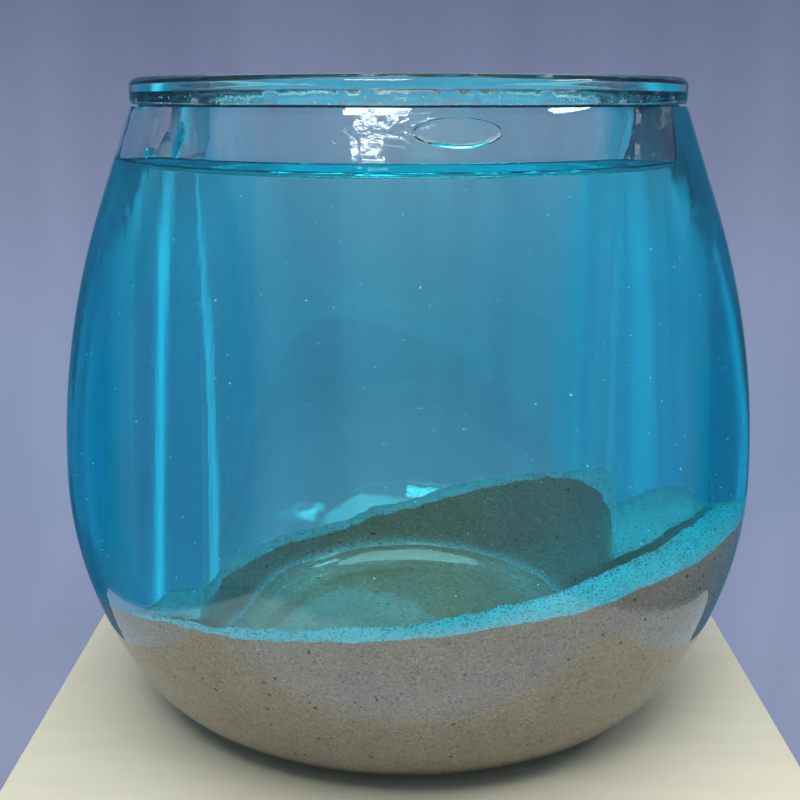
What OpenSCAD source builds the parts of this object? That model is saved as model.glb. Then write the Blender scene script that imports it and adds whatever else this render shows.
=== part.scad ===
// Double-walled belly glass with blue liquid and banked sand sealed between its walls.
// Millimetres. Z is up, the underside rests on Z = 0 and the front faces -Y.

/* [Vessel] */
// largest outside radius of the belly
belly_r = 47.5; // [42:0.5:55]
// height of the widest point of the belly
belly_z = 33.7; // [30:0.1:38]
// radius of the long arc from the belly up to the lip
shoulder_arc = 109.4; // [100:0.2:130]
// height where that arc runs out into the straight, leaning neck
neck_z = 70; // [60:0.5:74]
// radius of the arc from the belly down to the foot's corner
flank_arc = 48.2; // [46:0.2:56]
// radius of the rounded corner round the foot
foot_arc = 15.8; // [12:0.2:18]
// height of the vessel's lip, where the ring is bonded on
lip_z = 82.5; // [76:0.5:84]
// thickness of the vessel's wall
wall = 2.2; // [1.6:0.1:3]
// thickness of the vessel's floor
base_t = 3.4; // [2.6:0.1:4]

/* [Inner cup] */
// inside radius of the straight cup
cup_r = 30; // [26:0.5:30.5]
// thickness of the cup's wall
cup_wall = 1.5; // [1.2:0.1:1.8]
// height of the cup's underside
cup_z = 6.2; // [5.6:0.1:8]
// thickness of the cup's floor
cup_floor = 2; // [1.5:0.1:2.5]
// inside radius of the cup's bottom corner
cup_corner = 4.5; // [3:0.5:9]
// height of the cup's rounded lip
cup_lip_z = 85; // [84.5:0.1:85.2]

/* [Rim ring] */
// outside radius of the ring
ring_r = 36.9; // [36:0.1:37.4]
// thickness of the ring
ring_t = 3.3; // [3:0.1:4]
// radius of the ring's rounded top edges
ring_round = 1.2; // [0.6:0.1:1.4]
// thickness of the bond under the ring and round the cup
bond_t = 0.3; // [0.2:0.1:0.4]

/* [Seal patch] */
// length of the oval seal patch in the gap under the ring
patch_len = 9.6; // [6:0.2:12]
// height of the oval seal patch
patch_h = 3.5; // [2.5:0.1:4]
// sideways place of the oval patch
patch_x = 5.2; // [2:0.2:8]
// height of the oval patch's middle
patch_z = 79.6; // [79:0.1:80]
// radius of the smeared part beside it
smear_r = 2.7; // [2:0.1:3]
// sideways place of the smeared part
smear_x = -3.8; // [-6:0.2:-3]

/* [Contents] */
// height of the liquid's surface
liquid_z = 76; // [60:0.5:76.5]
// height of the sand's surface on the axis
sand_z = 20.4; // [16:0.1:24]
// how steeply the sand rises to the right
sand_rise_x = 0.132; // [0:0.002:0.2]
// how steeply the sand rises to the front
sand_rise_front = 0.136; // [0:0.002:0.2]
// room left between the contents and the walls
slack = 0.3; // [0.3:0.05:0.5]
// how many bright flecks float in the liquid
fleck_count = 36; // [0:4:60]
// edge length of a fleck
fleck = 0.45; // [0.3:0.05:0.8]

/* [Hidden] */
$fn = 180;
eps = 0.01;
big = 60;
cup_out = cup_r + cup_wall;
ring_z = lip_z + bond_t;
ring_top = ring_z + ring_t;
ring_bore = cup_out + bond_t;
// the flank arc and the foot arc meet where their slopes agree
meet = asin((belly_z - foot_arc) / (flank_arc - foot_arc));
foot_c = belly_r - flank_arc + (flank_arc - foot_arc) * cos(meet);
meet_z = belly_z - flank_arc * sin(meet);
// lean of the neck, and the neck's radius at a height when drawn in by d
neck_a = asin((neck_z - belly_z) / shoulder_arc);
function neck_r(d, z) = belly_r - shoulder_arc
    + (shoulder_arc - d - (z - belly_z) * sin(neck_a)) / cos(neck_a);
// tilt of the sand's surface and the way it faces
sand_grade = sqrt(sand_rise_x * sand_rise_x + sand_rise_front * sand_rise_front);
sand_tilt = atan(sand_grade);
sand_turn = atan2(-sand_rise_front, sand_rise_x);

// the half outline of the belly, drawn in by d on every side but the top; each arc's piece
// runs a hair past its end, inside the next arc, so that the pieces join into one
module belly_half(d = 0, floor_z = 0, top_z = lip_z) {
    neck = belly_z + (shoulder_arc - d) * sin(neck_a);
    difference() {
        union() {
            polygon([[0, neck], [neck_r(d, neck), neck], [neck_r(d, top_z), top_z], [0, top_z]]);
            intersection() {
                translate([belly_r - shoulder_arc, belly_z]) rotate(180)
                    circle(shoulder_arc - d, $fn = 720);
                translate([0, belly_z]) square([big, neck + eps - belly_z]);
            }
            intersection() {
                translate([belly_r - flank_arc, belly_z]) rotate(180)
                    circle(flank_arc - d, $fn = 360);
                translate([0, meet_z + d * sin(meet)])
                    square([big, belly_z - meet_z - d * sin(meet) + eps]);
            }
            intersection() {
                union() {
                    translate([foot_c, foot_arc]) circle(foot_arc - d);
                    translate([0, d]) square([foot_c, big]);
                }
                square([big, meet_z + d * sin(meet) + eps]);
            }
        }
        translate([-1, -1]) square([big + 1, floor_z + 1]);
    }
}

// the cup's outer form, grown by d, with its rounded bottom corner
module cup_half(d = 0, top_z = big) {
    r = cup_out + d;
    c = cup_corner + cup_wall + d;
    z = cup_z - d;
    translate([0, z + c]) square([r, top_z - z - c]);
    translate([0, z]) square([r - c, c + eps]);
    translate([r - c, z + c]) intersection() {
        circle(c);
        translate([-eps, -c]) square([c + eps, c + eps]);
    }
}

// everything below the sand's sloping surface
module under_sand() {
    translate([0, 0, sand_z]) rotate([0, 0, sand_turn]) rotate([0, -sand_tilt, 0])
        translate([-big, -big, -2 * big]) cube([2 * big, 2 * big, 2 * big]);
}

// the closed space between the walls, up to a height, with room all round
module chamber(top_z) {
    rotate_extrude() difference() {
        belly_half(wall + slack, base_t + slack, top_z);
        cup_half(slack, lip_z + 5);
    }
}

module outer_vessel() {
    color([0.86, 0.94, 0.96, 0.3]) rotate_extrude() difference() {
        belly_half();
        belly_half(wall, base_t, lip_z + 1);
    }
}

module inner_cup() {
    lip = cup_wall / 2;
    color([0.88, 0.95, 0.97, 0.3]) rotate_extrude() {
        difference() {
            cup_half(0, cup_lip_z - lip);
            translate([0, cup_z + cup_floor]) {
                translate([0, cup_corner]) square([cup_r, big * 2]);
                square([cup_r - cup_corner, cup_corner + eps]);
                translate([cup_r - cup_corner, cup_corner]) circle(cup_corner);
            }
        }
        translate([cup_r + lip, cup_lip_z - lip]) intersection() {
            circle(lip);
            translate([-lip, -eps]) square([cup_wall, cup_wall]);
        }
    }
}

module rim_ring() {
    color([0.75, 0.9, 0.92, 0.4]) rotate_extrude() {
        translate([ring_bore, ring_z]) square([ring_r - ring_bore, ring_t - ring_round]);
        translate([ring_bore, ring_z])
            square([ring_r - ring_round - ring_bore, ring_t]);
        translate([ring_r - ring_round, ring_top - ring_round]) intersection() {
            circle(ring_round);
            translate([-eps, -eps]) square([big, big]);
        }
    }
}

module rim_bond() {
    inner = neck_r(wall, lip_z);
    outer = neck_r(0, lip_z);
    color([0.2, 0.3, 0.38]) translate([0, 0, lip_z]) rotate_extrude()
        translate([inner, 0]) square([outer - inner, bond_t]);
}

module cup_bond() {
    color([0.5, 0.65, 0.7]) translate([0, 0, ring_z]) rotate_extrude()
        translate([cup_out, 0]) square([bond_t, cup_lip_z - ring_z - 1]);
}

// a clear patch that seals the filling place, between the vessel's wall and the cup's
module fill_plug() {
    flat = patch_len - patch_h;
    color([0.92, 0.96, 0.98, 0.5]) intersection() {
        rotate_extrude() difference() {
            belly_half(wall, base_t, lip_z);
            translate([0, 0]) square([cup_out, 2 * big]);
        }
        union() {
            for (side = [-1, 1])
                translate([patch_x + side * flat / 2, 0, patch_z]) rotate([90, 0, 0])
                    cylinder(h = big, d = patch_h);
            translate([patch_x - flat / 2, -big, patch_z - patch_h / 2])
                cube([flat, big, patch_h]);
            translate([smear_x, 0, patch_z]) rotate([90, 0, 0]) cylinder(h = big, r = smear_r);
            translate([smear_x, -big, patch_z - smear_r / 3])
                cube([patch_x - smear_x, big, smear_r / 2]);
        }
    }
}

module blue_liquid() {
    color([0.05, 0.55, 0.75, 0.6]) difference() {
        chamber(liquid_z);
        under_sand();
    }
}

module sand_bed() {
    color([0.68, 0.58, 0.47]) intersection() {
        chamber(liquid_z);
        under_sand();
    }
}

// small square flakes, spread by the golden angle through the liquid
module glitter_flecks() {
    color([0.9, 0.95, 1]) for (i = [0 : fleck_count - 1]) {
        a = i * 137.508;
        z = 31 + (i * 17 % fleck_count) / fleck_count * (liquid_z - 33);
        r = cup_out + 1.4 + (i * 7 % 5) * 0.7;
        rotate([0, 0, a]) translate([r, 0, z]) rotate([i * 40, i * 25, 0])
            cube([fleck, fleck, fleck / 3], center = true);
    }
}

outer_vessel();
inner_cup();
rim_ring();
rim_bond();
cup_bond();
fill_plug();
blue_liquid();
sand_bed();
glitter_flecks();
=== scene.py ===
import math
import random

import bpy
import numpy as np
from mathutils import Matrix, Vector, noise


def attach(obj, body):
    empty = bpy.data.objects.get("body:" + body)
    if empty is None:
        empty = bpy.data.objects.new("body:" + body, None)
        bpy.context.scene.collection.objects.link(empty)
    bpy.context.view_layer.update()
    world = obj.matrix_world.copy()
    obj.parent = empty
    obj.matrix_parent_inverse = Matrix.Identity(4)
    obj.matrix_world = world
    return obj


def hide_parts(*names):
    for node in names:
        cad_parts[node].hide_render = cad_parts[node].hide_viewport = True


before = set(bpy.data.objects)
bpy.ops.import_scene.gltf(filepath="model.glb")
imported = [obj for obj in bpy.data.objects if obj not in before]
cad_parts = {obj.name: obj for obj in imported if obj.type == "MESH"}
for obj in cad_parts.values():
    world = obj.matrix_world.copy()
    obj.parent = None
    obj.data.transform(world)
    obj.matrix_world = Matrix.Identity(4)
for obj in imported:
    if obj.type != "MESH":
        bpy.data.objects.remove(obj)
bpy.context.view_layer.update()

rng = random.Random(7)
scene = bpy.context.scene
# the lengths below are in millimetres, and MM turns them into the scene's metres
MM = 0.001

# ---- the glass's profile, in millimetres, as in the CAD ----
# the belly's largest radius and its height, and the radii of the three arcs of its outline
BELLY_R, BELLY_Z, SHOULDER, FLANK, FOOT = 47.5, 33.7, 109.4, 48.2, 15.8
# the height where the shoulder's arc runs out into the straight neck
NECK_Z = 70.0
WALL, BASE_T, LIP_Z = 2.2, 3.4, 82.5
CUP_R, CUP_WALL, CUP_Z, CUP_FLOOR, CUP_CORNER, CUP_TOP = 30.0, 1.5, 6.2, 2.0, 4.5, 85.0
RING_R, RING_T, RING_ROUND, BOND_T = 36.9, 3.3, 1.2, 0.3
# the liquid's edge below the trapped air, and the brim that it reaches elsewhere
LEVEL, BRIM = 76.0, 82.38
# how far the liquid's mesh reaches into each wall, and how clear of the wall the sand keeps
REACH, SAND_GAP = 0.3, 0.12

CUP_OUT = CUP_R + CUP_WALL
RING_Z = LIP_Z + BOND_T
RING_TOP = RING_Z + RING_T
RING_BORE = CUP_OUT + BOND_T
NECK = math.asin((NECK_Z - BELLY_Z) / SHOULDER)
MEET = math.asin((BELLY_Z - FOOT) / (FLANK - FOOT))
FOOT_C = BELLY_R - FLANK + (FLANK - FOOT) * math.cos(MEET)


def wall_r(z, d=0.0):
    """Radius of the belly's outline at height z, drawn in by d."""
    if z >= BELLY_Z + (SHOULDER - d) * math.sin(NECK):
        return (BELLY_R - SHOULDER
                + (SHOULDER - d - (z - BELLY_Z) * math.sin(NECK)) / math.cos(NECK))
    if z >= BELLY_Z:
        return BELLY_R - SHOULDER + math.sqrt((SHOULDER - d) ** 2 - (z - BELLY_Z) ** 2)
    if z >= BELLY_Z - (FLANK - d) * math.sin(MEET):
        return BELLY_R - FLANK + math.sqrt((FLANK - d) ** 2 - (z - BELLY_Z) ** 2)
    return FOOT_C + math.sqrt(max((FOOT - d) ** 2 - (z - FOOT) ** 2, 0.0))


def belly_line(d, z_from, z_to, n):
    """Points up the belly from z_from to z_to, closer together in the foot's corner."""
    out = []
    for i in range(n + 1):
        t = i / n
        z = z_from + (z_to - z_from) * t ** 1.7
        out.append((wall_r(z, d), z))
    return out


def corner(cx, cz, r, a0, a1, n):
    """Points along an arc about (cx, cz) from angle a0 to a1."""
    return [(cx + r * math.cos(a0 + (a1 - a0) * i / n), cz + r * math.sin(a0 + (a1 - a0) * i / n))
            for i in range(n + 1)]


def smooth(x):
    """A soft step from 0 to 1 as x goes from 0 to 1."""
    x = min(max(x, 0.0), 1.0)
    return x * x * (3 - 2 * x)


# ---- mesh helpers ----
def new_mesh(name, verts, faces, shaded=True, sharp=None):
    """A mesh object with its faces turned outward; edges over the sharp angle stay crisp."""
    me = bpy.data.meshes.new(name)
    me.from_pydata([tuple(v) for v in verts], [], faces)
    me.validate()
    co = np.empty(len(me.vertices) * 3)
    me.vertices.foreach_get("co", co)
    co = co.reshape(-1, 3)
    me.calc_loop_triangles()
    tri = np.empty(len(me.loop_triangles) * 3, np.int32)
    me.loop_triangles.foreach_get("vertices", tri)
    tri = tri.reshape(-1, 3)
    vol = np.einsum("ij,ij->i", co[tri[:, 0]], np.cross(co[tri[:, 1]], co[tri[:, 2]])).sum()
    if vol < 0:
        me.flip_normals()
    me.polygons.foreach_set("use_smooth", [shaded] * len(me.polygons))
    if sharp is not None:
        me.set_sharp_from_angle(angle=math.radians(sharp))
    me.update()
    ob = bpy.data.objects.new(name, me)
    scene.collection.objects.link(ob)
    return ob


def revolve(name, ring, n, axis_ends, sharp=35):
    """A solid of revolution: ring(a) is the outline, (r, z) in mm, at azimuth a."""
    rows = []
    for j in range(n):
        a = 2 * math.pi * j / n
        rows.append([(r * math.cos(a), r * math.sin(a), z) for r, z in ring(a)])
    if axis_ends:
        first = np.mean([row[0] for row in rows], axis=0)
        last = np.mean([row[-1] for row in rows], axis=0)
        rows = [row[1:-1] for row in rows]
    m = len(rows[0])
    verts = np.array(rows).reshape(-1, 3)
    faces = []
    for j in range(n):
        k = (j + 1) % n
        for i in range(m - 1 if axis_ends else m):
            i2 = (i + 1) % m
            faces.append((j * m + i, k * m + i, k * m + i2, j * m + i2))
    if axis_ends:
        verts = np.vstack([verts, first, last])
        for j in range(n):
            k = (j + 1) % n
            faces.append((n * m, k * m, j * m))
            faces.append((n * m + 1, j * m + m - 1, k * m + m - 1))
    return new_mesh(name, verts * MM, faces, sharp=sharp)


def ripple(a, z, seed=0.0):
    """Faint upright draw lines left by moulding, in mm."""
    return (0.030 * math.sin(9 * a + 1.3 + seed + 0.010 * z)
            + 0.018 * math.sin(23 * a + 2.1 * seed)
            + 0.007 * math.sin(47 * a + 0.7 + seed + 0.03 * z))


# ---- node helpers ----
def material(name):
    """A new material, its tree, its surface node and its output node."""
    mat = bpy.data.materials.new(name)
    mat.use_nodes = True
    nt = mat.node_tree
    return mat, nt, nt.nodes["Principled BSDF"], nt.nodes["Material Output"]


def node(nt, kind, **values):
    """A new node; a name with a leading underscore sets an input, any other sets a property."""
    n = nt.nodes.new(kind)
    for key, v in values.items():
        if key.startswith("_"):
            n.inputs[key[1:].replace("_", " ")].default_value = v
        else:
            setattr(n, key, v)
    return n


def coords(nt, scale=(1, 1, 1)):
    """The object's own coordinates, scaled."""
    tc = node(nt, "ShaderNodeTexCoord")
    mp = node(nt, "ShaderNodeMapping")
    mp.inputs["Scale"].default_value = scale
    nt.links.new(tc.outputs["Object"], mp.inputs["Vector"])
    return mp.outputs["Vector"]


def ramp(nt, fac, stops, interpolation="LINEAR"):
    """A colour ramp through (place, colour) stops."""
    r = node(nt, "ShaderNodeValToRGB")
    r.color_ramp.interpolation = interpolation
    el = r.color_ramp.elements
    while len(el) < len(stops):
        el.new(0.5)
    for e, (pos, col) in zip(el, stops):
        e.position = pos
        e.color = (*col, 1) if len(col) == 3 else col
    nt.links.new(fac, r.inputs["Fac"])
    return r.outputs["Color"]


def bump(nt, bsdf, height, strength, distance):
    """Use a height to roughen a surface's normal."""
    b = node(nt, "ShaderNodeBump", _Strength=strength, _Distance=distance)
    nt.links.new(height, b.inputs["Height"])
    nt.links.new(b.outputs["Normal"], bsdf.inputs["Normal"])


def feed(nt, socket, value):
    """Link an output to the socket, or set the socket to a number or a colour."""
    if isinstance(value, (int, float)):
        socket.default_value = value
    elif isinstance(value, tuple):
        socket.default_value = (*value, 1)
    else:
        nt.links.new(value, socket)


def maths(nt, op, a, b=None):
    m = node(nt, "ShaderNodeMath", operation=op)
    feed(nt, m.inputs[0], a)
    if b is not None:
        feed(nt, m.inputs[1], b)
    return m.outputs[0]


def mixed(nt, fac, a, b, blend="MIX"):
    m = node(nt, "ShaderNodeMix", data_type="RGBA", blend_type=blend)
    for key, value in (("Factor", fac), ("A", a), ("B", b)):
        feed(nt, m.inputs[key], value)
    return m.outputs["Result"]


def band(nt, value, lo, hi):
    """A soft step that rises from lo to hi."""
    r = node(nt, "ShaderNodeMapRange", interpolation_type="SMOOTHSTEP")
    r.inputs["From Min"].default_value = lo
    r.inputs["From Max"].default_value = hi
    nt.links.new(value, r.inputs["Value"])
    return r.outputs["Result"]


def below(nt, value, lo, hi):
    """A soft step that falls from lo to hi."""
    return maths(nt, "SUBTRACT", 1.0, band(nt, value, lo, hi))


def between(nt, value, a, b, c, d):
    """Rises from a to b and falls from c to d."""
    return maths(nt, "MULTIPLY", band(nt, value, a, b), below(nt, value, c, d))


def scaled(nt, value, to_lo, to_hi, lo=0.0, hi=1.0):
    """A straight map of value from lo..hi to to_lo..to_hi."""
    r = node(nt, "ShaderNodeMapRange")
    for key, v in (("From Min", lo), ("From Max", hi), ("To Min", to_lo), ("To Max", to_hi)):
        r.inputs[key].default_value = v
    nt.links.new(value, r.inputs["Value"])
    return r.outputs["Result"]


def parts(nt, kind, value):
    """The outputs of a node that splits a colour or a vector."""
    n = node(nt, kind)
    nt.links.new(value, n.inputs[0])
    return n.outputs


def clear(name, ior, tint=(1, 1, 1), absorb=None, density=0.0, streak=(260, 260, 14),
          strength=0.02, rough=(0.0, 0.012)):
    """Clear glass or plastic with faint draw lines, pits and smudges."""
    mat, nt, bsdf, out = material(name)
    bsdf.inputs["Base Color"].default_value = (*tint, 1)
    bsdf.inputs["Transmission Weight"].default_value = 1.0
    bsdf.inputs["IOR"].default_value = ior
    n = node(nt, "ShaderNodeTexNoise", _Scale=1.0, _Detail=4.0, _Roughness=0.55)
    nt.links.new(coords(nt, streak), n.inputs["Vector"])
    bump(nt, bsdf, n.outputs["Fac"], strength, 0.0004)
    s = node(nt, "ShaderNodeTexNoise", _Scale=90.0, _Detail=6.0, _Roughness=0.6)
    nt.links.new(coords(nt), s.inputs["Vector"])
    smudge = scaled(nt, s.outputs["Fac"], rough[0], rough[1], 0.45, 0.75)
    nt.links.new(smudge, bsdf.inputs["Roughness"])
    if absorb is not None:
        v = node(nt, "ShaderNodeVolumeAbsorption", _Color=(*absorb, 1), _Density=density)
        nt.links.new(v.outputs["Volume"], out.inputs["Volume"])
    return mat


# ---- materials ----
m_vessel = clear("vessel clear", 1.49, strength=0.05)
m_cup = clear("cup clear", 1.49, strength=0.04, streak=(300, 300, 10))
m_ring = clear("ring clear", 1.49, absorb=(0.45, 0.93, 0.9), density=18.0, strength=0.06,
               streak=(160, 160, 160))
m_liquid = clear("dyed liquid", 1.333, absorb=(0.0, 0.875, 0.925), density=76.0, strength=0.0,
                 rough=(0.0, 0.0))
m_film = clear("cyan wet film", 1.34, tint=(0.0, 0.70, 0.84), strength=0.3, streak=(300, 300, 300))
m_glue = clear("clear glue", 1.46, strength=0.35, streak=(420, 420, 420), rough=(0.0, 0.06))


def sand_material():
    """Tan grains in light and dark patches, black specks, and painted cyan-white light on the bank's
    upward-facing top.
    """
    mat, nt, bsdf, _ = material("wet tan sand")
    v = coords(nt)
    cells = node(nt, "ShaderNodeTexVoronoi", _Scale=4600.0)
    nt.links.new(v, cells.inputs["Vector"])
    cell = parts(nt, "ShaderNodeSeparateColor", cells.outputs["Color"])
    grains = ramp(nt, cell["Red"], [
        (0.0, (0.14, 0.10, 0.07)), (0.03, (0.27, 0.19, 0.12)), (0.10, (0.44, 0.31, 0.185)),
        (0.55, (0.52, 0.375, 0.225)), (0.85, (0.59, 0.44, 0.28)), (1.0, (0.73, 0.62, 0.47))])
    patches = node(nt, "ShaderNodeTexNoise", _Scale=120.0, _Detail=5.0, _Roughness=0.6)
    nt.links.new(v, patches.inputs["Vector"])
    shade = ramp(nt, patches.outputs["Fac"], [(0.3, (0.80, 0.78, 0.76)), (0.7, (1.0, 1.0, 1.0))])
    # a few of the larger cells hold a black speck at their middle
    large = node(nt, "ShaderNodeTexVoronoi", _Scale=1500.0)
    nt.links.new(v, large.inputs["Vector"])
    chance = parts(nt, "ShaderNodeSeparateColor", large.outputs["Color"])["Green"]
    pick = ramp(nt, chance, [(0.0, (0.05, 0.045, 0.05)), (0.022, (1, 1, 1))], "CONSTANT")
    near = ramp(nt, large.outputs["Distance"], [(0.0, (0, 0, 0)), (0.34, (0, 0, 0)),
                                                (0.42, (1, 1, 1))])
    speck = mixed(nt, 1.0, pick, near, "LIGHTEN")
    tan = mixed(nt, 1.0, mixed(nt, 1.0, grains, shade, "MULTIPLY"), speck, "MULTIPLY")
    # painted light: faces that look up, clear of the floor, are coloured pale cyan-white for the
    # light that falls on the bank's top through the liquid
    geo = node(nt, "ShaderNodeNewGeometry")
    faces_up = band(nt, parts(nt, "ShaderNodeSeparateXYZ", geo.outputs["Normal"])["Z"], 0.3, 0.6)
    height = parts(nt, "ShaderNodeSeparateXYZ", v)["Z"]
    lit_top_mask = maths(nt, "MULTIPLY", maths(nt, "GREATER_THAN", height, 0.009), faces_up)
    # the painted top light's colour, from dim teal to near white by grain
    painted_top_light = ramp(nt, cell["Red"], [
        (0.0, (0.12, 0.25, 0.30)), (0.06, (0.30, 0.62, 0.70)), (0.5, (0.45, 0.92, 1.0)),
        (1.0, (0.70, 1.0, 1.0))])
    nt.links.new(mixed(nt, lit_top_mask, tan, painted_top_light), bsdf.inputs["Base Color"])
    nt.links.new(scaled(nt, cell["Blue"], 0.35, 0.9), bsdf.inputs["Roughness"])
    bump(nt, bsdf, cells.outputs["Distance"], 0.5, 0.00009)
    return mat


def grain_material(name, dark, light, roughness, metal=0.0):
    """A small mottled solid: crystals, flecks, the seam's dark line and its bubbles."""
    mat, nt, bsdf, _ = material(name)
    bsdf.inputs["Metallic"].default_value = metal
    n = node(nt, "ShaderNodeTexNoise", _Scale=2600.0, _Detail=2.0)
    nt.links.new(coords(nt), n.inputs["Vector"])
    col = ramp(nt, n.outputs["Fac"], [(0.3, dark), (0.7, light)])
    nt.links.new(col, bsdf.inputs["Base Color"])
    bsdf.inputs["Roughness"].default_value = roughness
    bump(nt, bsdf, n.outputs["Fac"], 0.4, 0.00005)
    return mat


m_sand = sand_material()
m_pale = grain_material("pale grains", (0.72, 0.74, 0.72), (0.95, 0.96, 0.95), 0.25)
m_tan = grain_material("tan grains", (0.42, 0.34, 0.25), (0.66, 0.56, 0.44), 0.55)
m_dark = grain_material("dark grains", (0.015, 0.015, 0.02), (0.06, 0.05, 0.06), 0.4)
m_fleck = grain_material("bright flecks", (0.88, 0.94, 0.96), (1.0, 1.0, 1.0), 0.3, 0.2)
# a faint glow stands in for the glints of the flecks' mirror faces
glint = m_fleck.node_tree.nodes["Principled BSDF"]
glint.inputs["Emission Color"].default_value = (0.85, 0.97, 1.0, 1)
glint.inputs["Emission Strength"].default_value = 0.55
m_seam = grain_material("seam line", (0.006, 0.022, 0.035), (0.03, 0.075, 0.10), 0.18)
m_bubble = grain_material("seam bubbles", (0.55, 0.70, 0.74), (0.9, 0.97, 1.0), 0.08)

# ---- outer vessel ----
def fade(z, foot_h):
    """How strong the ripples are at height z: they die away at the foot and at the lip."""
    return min(1, z / foot_h) * min(1, (LIP_Z - z) / 4 + 0.15)


def vessel_ring(a):
    """The vessel's outline: a slightly hollow foot, the belly, a rolled lip and the inside."""
    roll = 1.3
    out = [(0.0, 0.55), (6.0, 0.5), (14.0, 0.28), (FOOT_C - 3.5, 0.03), (FOOT_C - 1.8, 0.0)]
    outer = belly_line(0, 0.02, LIP_Z, 96)[:-1]
    lip = [LIP_Z - 0.3 * i for i in range(5, -1, -1)]
    outer += [(wall_r(z), z) for z in lip if z > outer[-1][1]]
    for r, z in outer:
        bend = 0.12 * (max(z - LIP_Z + roll, 0.0) / roll) ** 2
        out.append((r + (0.35 * ripple(a, z, 2.0) - 0.02) * fade(z, 8) - bend, z))
    inner = belly_line(WALL, BASE_T + 0.1, LIP_Z, 90)[::-1]
    out += [(r - ripple(a, z) * fade(z, 10), z) for r, z in inner]
    out += [(FOOT_C * 0.93, BASE_T), (12.0, BASE_T), (0.0, BASE_T)]
    return out


vessel = revolve("vessel_glass", vessel_ring, 288, True)

# ---- inner cup ----
def cup_ring(a):
    """The cup's outline: floor, rounded corner, wall, fire-polished lip and the inside."""
    w = 0.5 * ripple(a, 0, 4.0)
    lip = CUP_WALL / 2
    c = CUP_CORNER + CUP_WALL
    out = [(0.0, CUP_Z), (14.0, CUP_Z)]
    out += corner(CUP_OUT - c, CUP_Z + c, c, -math.pi / 2, 0, 12)
    out += [(CUP_OUT + w * min(1, i / 4), CUP_Z + c + (CUP_TOP - lip - CUP_Z - c) * i / 30)
            for i in range(1, 28)]
    out += corner(CUP_R + lip, CUP_TOP - lip, lip, 0, math.pi, 10)
    zb = CUP_Z + CUP_FLOOR + CUP_CORNER
    out += [(CUP_R - 0.7 * w * min(1, i / 4), zb + (CUP_TOP - lip - zb) * i / 30)
            for i in range(27, 0, -1)]
    out += corner(CUP_R - CUP_CORNER, zb, CUP_CORNER, 0, -math.pi / 2, 12)
    out += [(15.0, CUP_Z + CUP_FLOOR + 0.12), (6.0, CUP_Z + CUP_FLOOR + 0.25),
            (0.0, CUP_Z + CUP_FLOOR + 0.3)]
    return out


cup = revolve("cup_glass", cup_ring, 256, True)

# ---- rim ring: fused to the vessel, a little uneven along its lower edge ----
def ring_ring(a):
    lo = RING_Z - 0.02 + 0.03 * math.sin(5 * a) + 0.02 * math.sin(13 * a + 1)
    ease = 0.35
    out = [(RING_BORE, lo), (RING_BORE, RING_TOP - ease)]
    out += corner(RING_BORE + ease, RING_TOP - ease, ease, math.pi, math.pi / 2, 4)[1:]
    out += corner(RING_R - RING_ROUND, RING_TOP - RING_ROUND, RING_ROUND, math.pi / 2, 0, 10)
    out += [(RING_R, lo + 0.7), (RING_R - 0.05, lo + 0.25), (RING_R - 0.22, lo)]
    out += [(34.2, lo), (33.0, lo)]
    return out


ring = revolve("ring_clear", ring_ring, 256, False)

# ---- the liquid: it reaches a hair into both walls, so that the light bends once at each ----
def level(a):
    """Height of the liquid's edge: low where the trapped air lies, up to the brim elsewhere."""
    air_right, air_left = -34, 160
    d = math.degrees((a + math.pi) % (2 * math.pi) - math.pi)
    up = smooth((d - air_right) / 7) * (1 - smooth((d - air_left) / 10))
    low = LEVEL - 0.35 + 0.10 * math.sin(a + 0.6)
    return low + (BRIM - low) * up


def liquid_ring(a):
    """The liquid's outline: round the cup, over the curved surface and down the vessel's wall."""
    top = level(a)
    w = ripple(a, 50)
    c = CUP_CORNER + CUP_WALL - REACH
    ci = CUP_OUT - REACH
    foot = CUP_Z + REACH
    z0 = foot + c
    # the surface is flat at the brim and curves up at both walls where there is air
    climb = min(1.0, (BRIM + 0.02 - top) / 2.4)
    gap = wall_r(top, WALL - REACH) - ci
    out = [(0.0, foot), (14.0, foot)]
    out += corner(ci - c, foot + c, c, -math.pi / 2, 0, 10)
    for i in range(1, 25):
        out.append((ci + REACH * 0.5 * ripple(a, 0, 4.0), z0 + (top + 0.4 * climb - z0) * i / 24))
    for i in range(1, 32):
        u = 2 * i / 32 - 1
        rise = 0.5 * max(-u, 0.0) ** 4 - 1.15 * (1 - abs(u) ** 3)
        out.append((ci + gap * i / 32, top + climb * rise))
    out += [(r - w * min(1, z / 10) * 0.6, z)
            for r, z in belly_line(WALL - REACH, BASE_T - 0.25, top, 90)[::-1]]
    out += [(r, BASE_T - REACH) for r in (FOOT_C * 0.93, 12.0, 0.0)]
    return out


liquid = revolve("dyed_liquid", liquid_ring, 288, True, sharp=50)

# ---- the sand bed ----
def sand_z(a, r):
    """Height of the bank at azimuth a and radius r: high at the right and front, curved, lumpy."""
    middle, to_right, to_front = 20.52, 5.57, 4.59
    d = math.degrees(a) % 360.0
    # at the front the bank rises towards the wall, and at the back it falls towards it
    away = smooth((197 - d) / 20) * smooth((d + 10) / 50) if d < 200 else smooth((d - 350) / 50)
    z = (middle + to_right * math.cos(a) - to_front * math.sin(a) + 1.47 * math.cos(2 * a)
         + 0.79 * math.sin(2 * a) + (0.85 - 1.5 * away) * (r - CUP_OUT) / 6)
    # a shallow hollow at the left
    z -= 0.6 * smooth((d - 172) / 16) * (1 - smooth((d - 200) / 20))
    x, y = r * math.cos(a), r * math.sin(a)
    z += 0.55 * noise.noise(Vector((x * 0.11, y * 0.11, 1.7)))
    z += 0.28 * noise.noise(Vector((x * 0.45, y * 0.45, 5.1)))
    return z


def grit(x, y):
    """The fine roughness of the bank's top."""
    return (0.16 * noise.noise(Vector((x * 2.3, y * 2.3, 3.0)))
            + 0.13 * noise.noise(Vector((x * 4.9, y * 4.9, 9.0))))


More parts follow.
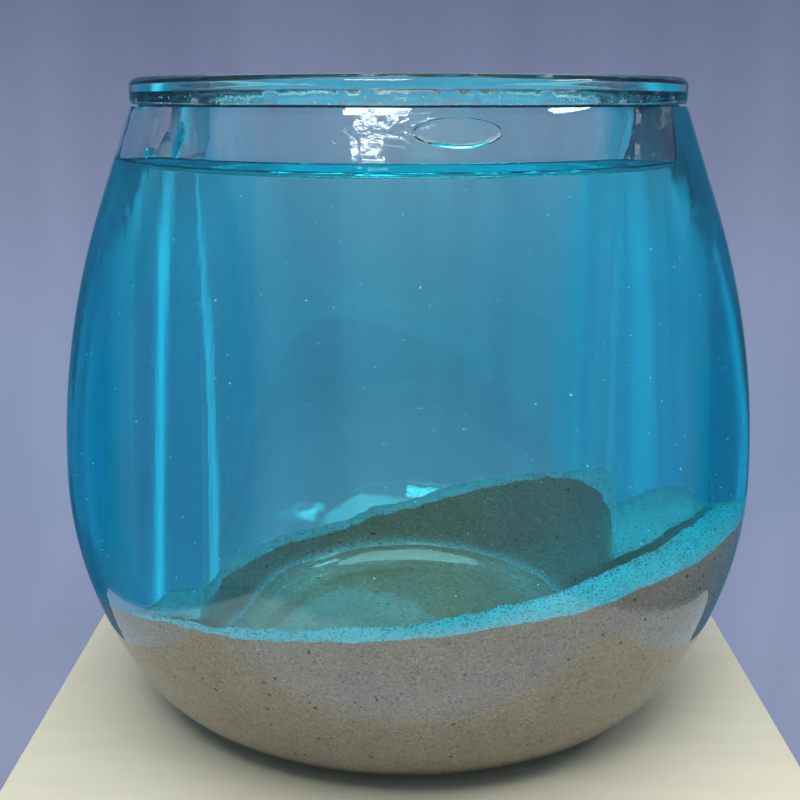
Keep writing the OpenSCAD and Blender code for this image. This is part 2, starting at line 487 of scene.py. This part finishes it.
def sand_ring(a):
    """The sand's outline: under and round the cup, over the bank and down the vessel's wall."""
    slip, n = 0.04, 46
    under = CUP_Z - slip
    c = CUP_CORNER + CUP_WALL + slip
    ri = CUP_OUT + slip
    zi = sand_z(a, ri)
    z0 = under + c
    # the bank meets the wall at ro; the second step corrects the first one's height
    ro = wall_r(sand_z(a, 43), WALL + SAND_GAP)
    ro = wall_r(sand_z(a, ro), WALL + SAND_GAP)
    out = [(0.0, under), (14.0, under)]
    out += corner(ri - c, z0, c, -math.pi / 2, 0, 8)
    out += [(ri, z0 + (zi - z0) * i / 6) for i in range(1, 7)]
    for i in range(1, n):
        r = ri + (ro - ri) * i / n
        out.append((r, sand_z(a, r) + grit(r * math.cos(a), r * math.sin(a))))
    out += belly_line(WALL + SAND_GAP, BASE_T + 0.14, sand_z(a, ro), 22)[::-1]
    out += [(r, BASE_T + 0.05) for r in (FOOT_C * 0.93, 12.0, 0.0)]
    return out


sand = revolve("sand_bank", sand_ring, 840, True, sharp=60)


# ---- loose grains on the bank, as little cut crystals ----
CRYSTAL = [(1, 0, 0), (-1, 0, 0), (0, 1, 0), (0, -1, 0), (0, 0, 1), (0, 0, -1)]
FACETS = [(0, 2, 4), (2, 1, 4), (1, 3, 4), (3, 0, 4), (2, 0, 5), (1, 2, 5), (3, 1, 5), (0, 3, 5)]


def scatter(name, count, place, size, flat=1.0):
    """Eight-sided grains of random size, stretch and turn, each at a point from place()."""
    verts, faces = [], []
    for _ in range(count):
        p = place()
        if p is None:
            continue
        s = rng.uniform(*size)
        q = Vector((rng.uniform(-1, 1), rng.uniform(-1, 1), rng.uniform(-1, 1))).normalized()
        rot = q.to_track_quat("Z", "Y").to_matrix()
        base = len(verts)
        stretch = (rng.uniform(0.7, 1.25), rng.uniform(0.7, 1.1), rng.uniform(0.6, 1.0) * flat)
        for v in CRYSTAL:
            d = rot @ Vector([v[k] * stretch[k] * s for k in range(3)])
            verts.append(((p[0] + d.x) * MM, (p[1] + d.y) * MM, (p[2] + d.z) * MM))
        faces += [tuple(base + k for k in f) for f in FACETS]
    return new_mesh(name, verts, faces, shaded=False)


def on_bank():
    """A point on the sand, more often close to the cup."""
    a = rng.uniform(0, 2 * math.pi)
    ri = CUP_OUT + 0.25
    ro = wall_r(sand_z(a, 43), WALL) - 0.25
    r = rng.uniform(ri, ro)
    if rng.random() < 0.3:
        r = ri + rng.random() ** 2 * 2.0
    return (r * math.cos(a), r * math.sin(a), sand_z(a, r) + 0.05)


tan_grains = scatter("grains_tan", 2600, on_bank, (0.09, 0.20))
pale_grains = scatter("grains_pale", 2300, on_bank, (0.06, 0.15))
dark_grains = scatter("grains_dark", 420, on_bank, (0.07, 0.15))


def in_liquid():
    """A point in the liquid, more often low down, or None if the sand is there."""
    low, high = 24, LEVEL - 4
    a = rng.uniform(0, 2 * math.pi)
    z = low + (high - low) * rng.random() ** 1.6
    ro = wall_r(z, WALL) - 0.5
    r = rng.uniform(CUP_OUT + 0.5, ro)
    if z < sand_z(a, r) + 1:
        return None
    return (r * math.cos(a), r * math.sin(a), z)


flecks = scatter("bright_flecks", 260, in_liquid, (0.05, 0.12), 0.45)
few = scatter("large_flecks", 34, in_liquid, (0.12, 0.22), 0.4)

# ---- the seam under the ring: a ragged dark line with bubbles in it ----
SEAM_Z = LIP_Z + BOND_T / 2


def seam_ring(a):
    """The dark line's small cross-section, with a ragged width and thickness."""
    x, y = math.cos(a) * 30, math.sin(a) * 30
    rag = noise.noise(Vector((x * 1.1, y * 1.1, 0.3)))
    fine = noise.noise(Vector((x * 3.5, y * 3.5, 7.3)))
    outer = 35.70 + 0.10 * rag + 0.08 * fine
    thick = 0.25 + 0.12 * abs(rag) + 0.10 * abs(fine)
    width = 0.45 + 0.3 * rag + 0.25 * fine + 0.05 * math.sin(12 * a)
    inner = outer - max(width, 0.12)
    low, high = SEAM_Z - thick / 2, SEAM_Z + thick / 2
    return [(inner, low), (inner, high), (outer, high), (outer + 0.03, SEAM_Z), (outer, low)]


seam = revolve("seam_line", seam_ring, 720, False, sharp=40)


def seam_glue_ring(a):
    """The clear glue behind the dark line, with a wavy inner edge."""
    inner, outer = wall_r(LIP_Z, WALL) + 0.05, 35.15
    low, high = LIP_Z - 0.06, RING_Z + 0.06
    b = 0.12 * math.sin(17 * a) + 0.08 * math.sin(41 * a + 2)
    return [(inner - 0.25 + b * 0.5, low), (inner - 0.3 + b * 0.5, SEAM_Z), (inner - 0.1, high),
            (outer + b * 0.3, high), (outer + b * 0.3, low)]


seam_glue = revolve("seam_glue", seam_glue_ring, 360, False, sharp=60)


def in_seam():
    """A point just above the seam, more often near its outer edge."""
    a = rng.uniform(0, 2 * math.pi)
    r = 35.9 - rng.random() ** 1.5 * 3.2
    return (r * math.cos(a), r * math.sin(a), RING_Z + 0.1 + rng.random() ** 2)


bubbles = scatter("seam_bubbles", 520, in_seam, (0.04, 0.11))


def cup_glue_ring(a):
    """The glue between the ring's bore and the cup, with a small uneven crest."""
    low, high, inner, outer = RING_Z + 0.02, 84.3, CUP_OUT - 0.02, RING_BORE + 0.02
    b = 0.03 * math.sin(19 * a) + 0.02 * math.sin(53 * a)
    return [(inner, low), (inner, high), (CUP_OUT + 0.15 + b, high + 0.12 + b), (outer, high),
            (outer, low)]


cup_glue = revolve("cup_glue", cup_glue_ring, 256, False, sharp=60)

# ---- the seal patch: a lens of clear glue under the ring, and a wrinkled smear beside it ----
def patch_mesh(name, a_mid, z_mid, half_w, half_h, sink, depth, nx, nz, seed, power=2.4,
               rough_amp=0.0, bend=0.0):
    """A closed pad on the wall round azimuth a_mid (radians, 0 at the front) and height z_mid.

    Its outer side lies sink deep in the wall's inside, and it stands depth high at its middle.
    """
    front, back = [], []
    for i in range(nx + 1):
        for j in range(nz + 1):
            # a disc grid, so that the outline is a clean oval
            u, v = 2 * i / nx - 1, 2 * j / nz - 1
            du = u * math.sqrt(1 - v * v / 2)
            dv = v * math.sqrt(1 - u * u / 2)
            x, z = du * half_w, z_mid + dv * half_h + bend * du * du
            rr = min(du * du + dv * dv, 1.0)
            h = depth * (1 - rr ** power) ** 0.5
            h *= 1 + rough_amp * noise.noise(Vector((x * 0.9 + seed, z * 0.9, seed)))
            r = wall_r(z, WALL - sink)
            a = a_mid + x / r - math.pi / 2
            r2 = r - h
            front.append((r * math.cos(a), r * math.sin(a), z))
            back.append((r2 * math.cos(a), r2 * math.sin(a), z))
    n = (nx + 1) * (nz + 1)
    verts = np.array(front + back)
    faces = []
    for i in range(nx):
        for j in range(nz):
            k = i * (nz + 1) + j
            q = (k, k + 1, k + nz + 2, k + nz + 1)
            faces.append(q)
            faces.append(tuple(n + v for v in reversed(q)))
    rim = ([i * (nz + 1) for i in range(nx + 1)] + [nx * (nz + 1) + j for j in range(1, nz + 1)]
           + [i * (nz + 1) + nz for i in range(nx - 1, -1, -1)] + [j for j in range(nz - 1, 0, -1)])
    for k in range(len(rim)):
        p, q = rim[k], rim[(k + 1) % len(rim)]
        faces.append((p, q, n + q, n + p))
    return new_mesh(name, verts * MM, faces, sharp=60)


seal = patch_mesh("seal_patch", 5.2 / 35.0, 79.65, 4.85, 1.6, 0.25, 0.42, 48, 24, 3.0, power=7.0,
                  rough_amp=0.06)
films = [patch_mesh("film_under_patch", 5.5 / 35.0, 78.1, 3.5, 0.26, 0.05, 0.7, 24, 8, 1.0,
                    bend=0.55),
         patch_mesh("film_left", -0.80, 78.2, 0.62, 2.2, 0.05, 0.5, 8, 20, 2.0, rough_amp=0.5),
         patch_mesh("film_drop", -0.96, 76.7, 0.6, 0.7, 0.05, 0.8, 8, 8, 4.0)]


def smear_mesh():
    """A thin wrinkled film of clear glue on the neck, made of strokes laid over one another."""
    # each stroke is x0, z0, x1, z1 and its half width, in mm, with x 0 at the front
    strokes = [(-4.3, 81.7, -4.1, 80.4, 0.95), (-4.1, 80.2, -3.9, 78.2, 0.95),
               (-3.2, 79.6, -3.3, 78.6, 0.75), (-5.2, 81.3, -5.5, 79.9, 0.45),
               (-5.6, 79.4, -5.4, 78.0, 0.42), (-4.4, 77.35, -2.5, 77.3, 0.26),
               (-5.6, 77.4, -5.3, 77.4, 0.2), (-3.0, 80.7, -1.6, 81.6, 0.45),
               (-2.2, 80.6, -1.2, 81.5, 0.32), (-1.8, 82.0, 2.4, 82.05, 0.14),
               (-0.9, 81.0, 0.1, 81.4, 0.13), (-3.6, 79.95, -0.4, 79.4, 0.13),
               (-6.7, 80.2, -6.2, 79.8, 0.16), (-7.8, 79.1, -7.7, 78.9, 0.10),
               (1.4, 81.2, 2.9, 81.6, 0.11), (0.3, 80.7, 0.7, 80.8, 0.10),
               (-0.3, 80.0, 0.1, 79.9, 0.12)]
    nx, nz = 210, 110
    x0, x1, z0, z1 = -8.4, 3.6, 76.8, 82.4
    # the film gets thicker downwards, so that its face leans less than the neck does
    lean, sink = 0.082, 0.12
    verts, index, faces = [], {}, []

    def place(i, j):
        return x0 + (x1 - x0) * i / nx, z0 + (z1 - z0) * j / nz

    def cover(x, z):
        """Over 0 where the film is: the nearest stroke, with a ragged edge."""
        best = -1.0
        for ax, az, bx, bz, w in strokes:
            dx, dz = bx - ax, bz - az
            t = min(max(((x - ax) * dx + (z - az) * dz) / (dx * dx + dz * dz), 0.0), 1.0)
            best = max(best, 1 - math.hypot(x - ax - t * dx, z - az - t * dz) / w)
        return best + 0.22 * noise.noise(Vector((x * 2.1, z * 2.1, 5.2)))

    def vert(i, j, inside):
        key = (i, j, inside)
        if key not in index:
            x, z = place(i, j)
            wave = 0.012 * noise.noise(Vector((x * 1.1, z * 0.9, 8.0)))
            r = wall_r(z) - sink if inside else wall_r(z) + 0.02 + (LIP_Z - z) * lean + wave
            a = x / 37.0 - math.pi / 2
            index[key] = len(verts)
            verts.append((r * math.cos(a) * MM, r * math.sin(a) * MM, z * MM))
        return index[key]

    film = np.array([[cover(*place(i, j)) > 0 for j in range(nz + 1)] for i in range(nx + 1)])
    solid = film[:-1, :-1] & film[1:, :-1] & film[:-1, 1:] & film[1:, 1:]
    for i in range(nx):
        for j in range(nz):
            if not solid[i, j]:
                continue
            c = [(i, j), (i + 1, j), (i + 1, j + 1), (i, j + 1)]
            faces.append(tuple(vert(*p, 0) for p in c))
            faces.append(tuple(vert(*p, 1) for p in reversed(c)))
            for k, (di, dj) in enumerate(((0, -1), (1, 0), (0, 1), (-1, 0))):
                ii, jj = i + di, j + dj
                if not (0 <= ii < nx and 0 <= jj < nz) or not solid[ii, jj]:
                    p, q = c[k], c[(k + 1) % 4]
                    faces.append((vert(*q, 0), vert(*p, 0), vert(*p, 1), vert(*q, 1)))
    return new_mesh("glue_smear", verts, faces, sharp=50)


smear = smear_mesh()


def wet_band():
    """The dyed meniscus that clings to the vessel's wall along the trapped air's lower edge."""
    first, last, n, m = math.radians(-159), math.radians(-33), 168, 8
    sink, thick = 0.12, 0.30
    rows = []
    for j in range(n + 1):
        a = first + (last - first) * j / n
        end = smooth(6 * j / n) * smooth(6 * (n - j) / n)
        z0, z1 = level(a) - 0.55, level(a) + 0.1 + 0.75 * end
        up = [(i / m, z0 + (z1 - z0) * i / m) for i in range(m + 1)]
        row = [(wall_r(z, WALL - sink), z) for _, z in up]
        row += [(wall_r(z, WALL + thick * (1 - t ** 4)), z) for t, z in up[-2::-1]]
        rows.append([(r * math.cos(a), r * math.sin(a), z) for r, z in row])
    k = len(rows[0])
    faces = [(j * k + i, j * k + (i + 1) % k, (j + 1) * k + (i + 1) % k, (j + 1) * k + i)
             for j in range(n) for i in range(k)]
    faces += [tuple(range(k)), tuple(n * k + i for i in reversed(range(k)))]
    return new_mesh("film_band", np.array(rows).reshape(-1, 3) * MM, faces, sharp=50)


edge_band = wet_band()

# ---- finish: bodies, replacements, slots, materials ----
for ob, mat, body, nodes, slot in (
        (vessel, m_vessel, "vessel", ("outer_vessel",), "vessel_glass"),
        (cup, m_cup, "vessel", ("inner_cup",), "cup_glass"),
        (ring, m_ring, "vessel", ("rim_ring",), "ring_glass"),
        (seam, m_seam, "vessel", ("rim_bond",), "seam"),
        (seam_glue, m_glue, "vessel", (), "clear_bond"),
        (bubbles, m_bubble, "vessel", (), "seam"),
        (cup_glue, m_glue, "vessel", ("cup_bond",), "clear_bond"),
        (seal, m_glue, "vessel", ("fill_plug",), "seal_patch"),
        (smear, m_glue, "vessel", (), "seal_patch"),
        (liquid, m_liquid, "contents", ("blue_liquid",), "blue_liquid"),
        (sand, m_sand, "contents", ("sand_bed",), "sand"),
        (tan_grains, m_tan, "contents", (), "sand"),
        (pale_grains, m_pale, "contents", (), "sand"),
        (dark_grains, m_dark, "contents", (), "sand"),
        (flecks, m_fleck, "contents", ("glitter_flecks",), "glitter"),
        (few, m_fleck, "contents", (), "glitter"),
        (edge_band, m_film, "contents", (), "blue_liquid"),
        *((ob, m_film, "vessel", (), "clear_bond") for ob in films)):
    ob.data.materials.clear()
    ob.data.materials.append(mat)
    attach(ob, body)
    if nodes:
        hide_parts(*nodes)

# ---- stage: the cream block that it stands on, and a pale floor far below ----
def painted(name, dark, light, grain):
    """Matt paint, faintly mottled along the grain."""
    mat, nt, bsdf, _ = material(name)
    n = node(nt, "ShaderNodeTexNoise", _Scale=60.0, _Detail=8.0, _Roughness=0.6)
    nt.links.new(coords(nt, grain), n.inputs["Vector"])
    nt.links.new(ramp(nt, n.outputs["Fac"], [(0.3, dark), (0.7, light)]), bsdf.inputs["Base Color"])
    bsdf.inputs["Roughness"].default_value = 0.6
    bump(nt, bsdf, n.outputs["Fac"], 0.15, 0.0005)
    return mat


def block(name, centre_y, half_x, half_y, top, bottom, edge, cut, mat):
    """A slab with chamfered corners and softened top edges, in mm."""
    verts, faces = [], []
    layers = ((bottom, 0.0), (top - edge, 0.0), (top - 0.3 * edge, 0.3 * edge), (top, edge))
    for z, inset in layers:
        x, y = half_x - inset, half_y - inset
        for px, py in ((cut - x, -y), (x - cut, -y), (x, cut - y), (x, y - cut), (x - cut, y),
                       (cut - x, y), (-x, y - cut), (-x, cut - y)):
            verts.append((px * MM, (py + centre_y) * MM, z * MM))
    for k in range(len(layers) - 1):
        for i in range(8):
            j = (i + 1) % 8
            faces.append((k * 8 + i, k * 8 + j, k * 8 + 8 + j, k * 8 + 8 + i))
    faces.append(tuple(range(len(verts) - 8, len(verts))))
    faces.append(tuple(reversed(range(8))))
    ob = new_mesh(name, verts, faces, sharp=30)
    ob.data.materials.append(mat)


m_block = painted("cream paint", (0.41, 0.37, 0.285), (0.44, 0.405, 0.315), (1, 6, 1))
m_floor = painted("pale floor", (0.60, 0.62, 0.66), (0.66, 0.68, 0.72), (1, 1, 1))
BLOCK_H = 450.0
block("cream_block", -11.0, 51.0, 35.5, 0.0, -BLOCK_H, 1.2, 1.5, m_block)
block("floor", 0.0, 700.0, 600.0, -BLOCK_H, -BLOCK_H - 10.0, 1.0, 60.0, m_floor)

# ---- studio: a dim blue-grey backdrop for the camera and a brighter room seen in the glass ----
world = bpy.data.worlds.new("studio")
scene.world = world
world.use_nodes = True
nt = world.node_tree
bg = nt.nodes["Background"]
tc = node(nt, "ShaderNodeTexCoord")
sep = node(nt, "ShaderNodeSeparateXYZ")
nt.links.new(tc.outputs["Generated"], sep.inputs["Vector"])

# mirror is 1 where a ray has just been reflected; high is the sine of its elevation;
# round_ is its azimuth, 0 at the back and + to the right; aside is how far it is from the back
path = node(nt, "ShaderNodeLightPath")
mirror = maths(nt, "MULTIPLY", path.outputs["Is Reflection Ray"], path.outputs["Is Glossy Ray"])
high = sep.outputs["Z"]
round_ = maths(nt, "ARCTAN2", sep.outputs["X"], sep.outputs["Y"])
aside = maths(nt, "ABSOLUTE", round_)
up = maths(nt, "MULTIPLY_ADD", high, 0.5)
up.node.inputs[2].default_value = 0.5
lower = [(0.0, (0.30, 0.33, 0.42)), (0.25, (0.27, 0.315, 0.47)), (0.37, (0.25, 0.31, 0.475)),
         (0.43, (0.235, 0.285, 0.44)), (0.50, (0.185, 0.22, 0.345)), (0.53, (0.155, 0.185, 0.30))]
dark_sky = ramp(nt, up, lower + [
    (0.60, (0.09, 0.12, 0.20)), (0.72, (0.04, 0.06, 0.10)), (1.0, (0.10, 0.11, 0.13))])
pale_sky = ramp(nt, up, [(0.0, (0.30, 0.33, 0.42)), (0.25, (0.12, 0.50, 0.76))] + lower[2:] + [
    (0.60, (0.18, 0.32, 0.46)), (0.75, (0.34, 0.54, 0.66)), (1.0, (0.75, 0.95, 1.0))])
wave = node(nt, "ShaderNodeTexNoise", _Scale=1.0, _Detail=3.0, _Roughness=0.6)
comb = node(nt, "ShaderNodeCombineXYZ")
nt.links.new(maths(nt, "MULTIPLY", sep.outputs["X"], 7.0), comb.inputs["X"])
nt.links.new(maths(nt, "MULTIPLY", sep.outputs["Y"], 7.0), comb.inputs["Y"])
nt.links.new(maths(nt, "MULTIPLY", high, 0.8), comb.inputs["Z"])
nt.links.new(comb.outputs["Vector"], wave.inputs["Vector"])
# faint upright folds all round
streaks = ramp(nt, wave.outputs["Fac"], [(0.3, (0.86, 0.86, 0.88)), (0.7, (1.12, 1.12, 1.10))])
sky = mixed(nt, mirror, pale_sky, dark_sky)
col = mixed(nt, 1.0, sky, streaks, "MULTIPLY")

# seen only through the glass or in it: cyan walls at the sides, pale panes low down in them
beam = between(nt, round_, -0.95, -0.82, -0.80, -0.68)
pane = between(nt, round_, 0.74, 0.95, 0.98, 1.18)
left = mixed(nt, beam, (0.015, 0.25, 0.43), (0.09, 0.80, 1.12))
right = mixed(nt, pane, (0.015, 0.34, 0.56), (0.04, 0.48, 0.74))
wall = mixed(nt, band(nt, round_, -0.05, 0.05), left, right)
wall = mixed(nt, band(nt, high, -0.07, -0.02), wall, (0.12, 0.20, 0.34))
wall = mixed(nt, below(nt, high, -0.50, -0.36), wall, (0.16, 0.26, 0.38))
wall = mixed(nt, 1.0, wall, streaks, "MULTIPLY")
wall = mixed(nt, mirror, wall, (0.03, 0.15, 0.28))
# where each wall shows: from beside the back round to the sides, then the flanks, then the front
reach = maths(nt, "MULTIPLY", between(nt, aside, 0.30, 0.46, 1.25, 1.45), below(nt, high, 0.10, 0.35))
col = mixed(nt, reach, col, wall)
flank = maths(nt, "MULTIPLY", between(nt, aside, 1.25, 1.45, 1.9, 2.5), below(nt, high, 0.35, 0.6))
col = mixed(nt, flank, col, mixed(nt, mirror, (0.26, 0.34, 0.46), (0.08, 0.22, 0.38)))
behind = maths(nt, "MULTIPLY", band(nt, aside, 2.3, 2.9), below(nt, high, 0.03, 0.2))
room = mixed(nt, mirror, (0.37, 0.34, 0.30), mixed(nt, 1.0, col, (0.5, 0.5, 0.55), "MULTIPLY"))
col = mixed(nt, behind, col, room)
plain = mixed(nt, 1.0, dark_sky, streaks, "MULTIPLY")
nt.links.new(mixed(nt, path.outputs["Is Camera Ray"], col, plain), bg.inputs["Color"])
bg.inputs["Strength"].default_value = 1.0


def softbox(name, azimuth, elevation, size, power):
    """An area light 1 m off, unseen by the camera; azimuth 0 is the front, + to the right."""
    lamp = bpy.data.lights.new(name, "AREA")
    lamp.shape = "RECTANGLE"
    lamp.size, lamp.size_y = size
    lamp.energy = power
    ob = bpy.data.objects.new(name, lamp)
    scene.collection.objects.link(ob)
    a, e = math.radians(azimuth), math.radians(elevation)
    target = Vector((0, 0, 0.05))
    away = Vector((math.sin(a) * math.cos(e), -math.cos(a) * math.cos(e), math.sin(e)))
    ob.location = target + away
    ob.rotation_euler = (-away).to_track_quat("-Z", "Y").to_euler()
    ob.visible_camera = False
    return ob


softbox("window_front", -15, 49, (0.36, 0.16), 3.6)
softbox("window_right", 79, 41, (0.34, 0.10), 1.8)
softbox("ceiling", -10, 79, (1.3, 0.9), 17.0).visible_glossy = False
softbox("back_pane_left", 184.5, 23.2, (0.026, 0.008), 0.0025)
softbox("back_pane_right", 180.5, 22.8, (0.052, 0.012), 0.0075)

# ---- camera: close, just below the rim's height and pitched down ----
LENS, DISTANCE, EYE_Z = 56.07, 0.173, 0.0835
PITCH_DOWN = 13.62  # degrees
TURN = math.atan(8 / 1246)  # radians
cam = bpy.data.cameras.new("camera")
cam.sensor_width = 36.0
cam.lens = LENS
cam.clip_start = 0.01
cam_ob = bpy.data.objects.new("camera", cam)
scene.collection.objects.link(cam_ob)
cam_ob.location = (0, -DISTANCE, EYE_Z)
cam_ob.rotation_euler = (math.radians(90 - PITCH_DOWN), 0, TURN)
scene.camera = cam_ob

scene.view_settings.view_transform = "Standard"
scene.view_settings.look = "None"
cy = scene.cycles
cy.max_bounces = 28
cy.transmission_bounces = 28
cy.glossy_bounces = 10
cy.diffuse_bounces = 4
cy.transparent_max_bounces = 12
cy.sample_clamp_indirect = 8.0
cy.blur_glossy = 0.3
